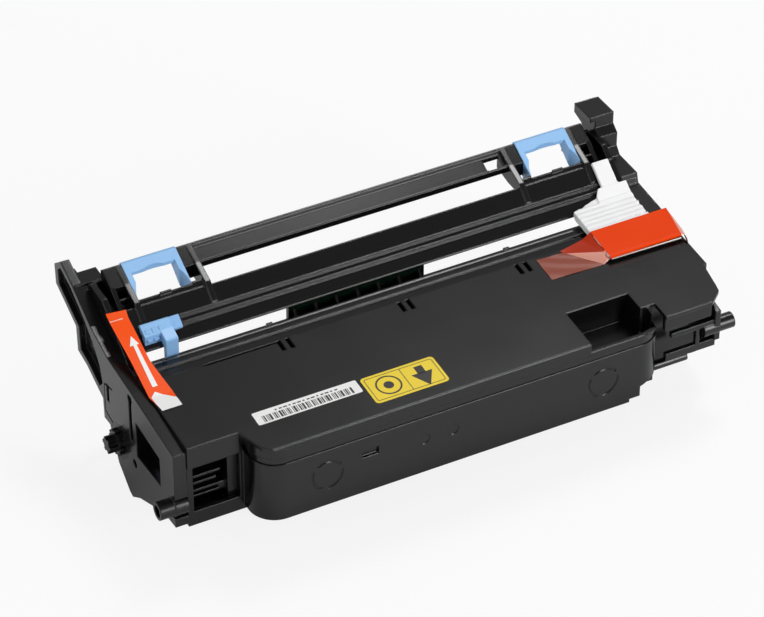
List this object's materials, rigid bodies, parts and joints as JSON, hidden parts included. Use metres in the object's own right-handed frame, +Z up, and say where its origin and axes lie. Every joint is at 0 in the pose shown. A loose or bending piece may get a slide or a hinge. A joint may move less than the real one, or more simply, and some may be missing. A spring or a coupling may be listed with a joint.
{
  "type": "printer drum unit",
  "caption": "Long drum cartridge for a laser printer: waste chamber, photoconductor drum, corona charger with sliding wire cleaner, handle beam with two finger grips.",
  "frame": {"origin": "middle of the base, on the plane of the feet", "axes": "+X along the drum towards the gear end, +Y to the rear (drum, charger and handle beam), +Z up"},
  "size_m": [0.313, 0.1572, 0.1004],
  "materials": {
    "black_plastic": "satin moulded",
    "cover_plastic": "fine grained satin",
    "plate_plastic": "satin moulded",
    "blue_plastic": "smooth moulded",
    "drum_coating": "glossy organic photoconductor coat",
    "flange_plastic": "smooth",
    "white_plastic": "smooth",
    "steel": "bright",
    "wire_metal": "gold plated",
    "polyurethane": "smooth",
    "felt": "felt",
    "dark_film": "thin film",
    "white_label": "matt",
    "yellow_label": "matt",
    "orange_tape": "satin film",
    "clear_film": "clear film",
    "foam": "soft closed-cell foam"
  },
  "bodies": {
    "housing": {"main_chassis": "black_plastic", "top_cover": "cover_plastic", "left_end_plate": "plate_plastic", "right_end_plate": "plate_plastic", "upper_frame": "black_plastic", "rear_guide": "black_plastic", "left_grip": "blue_plastic", "right_grip": "blue_plastic", "drum_pin": "steel", "drive_bush": "white_plastic", "idler_pin": "steel", "blade_bracket": "steel", "cleaning_blade": "polyurethane", "blade_screws": "steel", "sweep_film": "dark_film", "charger_shield": "steel", "charger_grid": "steel", "charger_wire": "wire_metal", "left_wire_block": "white_plastic", "right_wire_block": "white_plastic", "bar_label": "white_label", "yellow_label": "yellow_label", "transit_tape": "orange_tape", "foam_pad": "foam", "orange_film": "orange_tape", "film_tail": "clear_film"},
    "drum": {"drum_tube": "drum_coating", "drive_flange": "flange_plastic", "gear_flange": "white_plastic"},
    "idler": {"idler_gear": "white_plastic"},
    "auger": {"waste_auger": "white_plastic"},
    "wire_cleaner": {"cleaner_slider": "blue_plastic", "cleaner_pad": "felt"}
  },
  "joints": [
    {"name": "drum_spin", "type": "hinge", "parent": "housing", "child": "drum", "pos_m": [0, 0.00525, 0.027], "axis": [1, 0, 0], "continuous": true},
    {"name": "idler_spin", "type": "hinge", "parent": "housing", "child": "idler", "pos_m": [0, -0.02373, 0.03476], "axis": [1, 0, 0], "continuous": true},
    {"name": "auger_spin", "type": "hinge", "parent": "housing", "child": "auger", "pos_m": [0, -0.04623, 0.02998], "axis": [1, 0, 0], "continuous": true},
    {"name": "cleaner_slide", "type": "slide", "parent": "housing", "child": "wire_cleaner", "axis": [1, 0, 0], "range_m": [0, 0.215]}
  ],
  "couplings": [
    {"joint": "idler_spin", "follows": "drum_spin", "ratio": -1.1429},
    {"joint": "auger_spin", "follows": "drum_spin", "ratio": 1.7778}
  ]
}
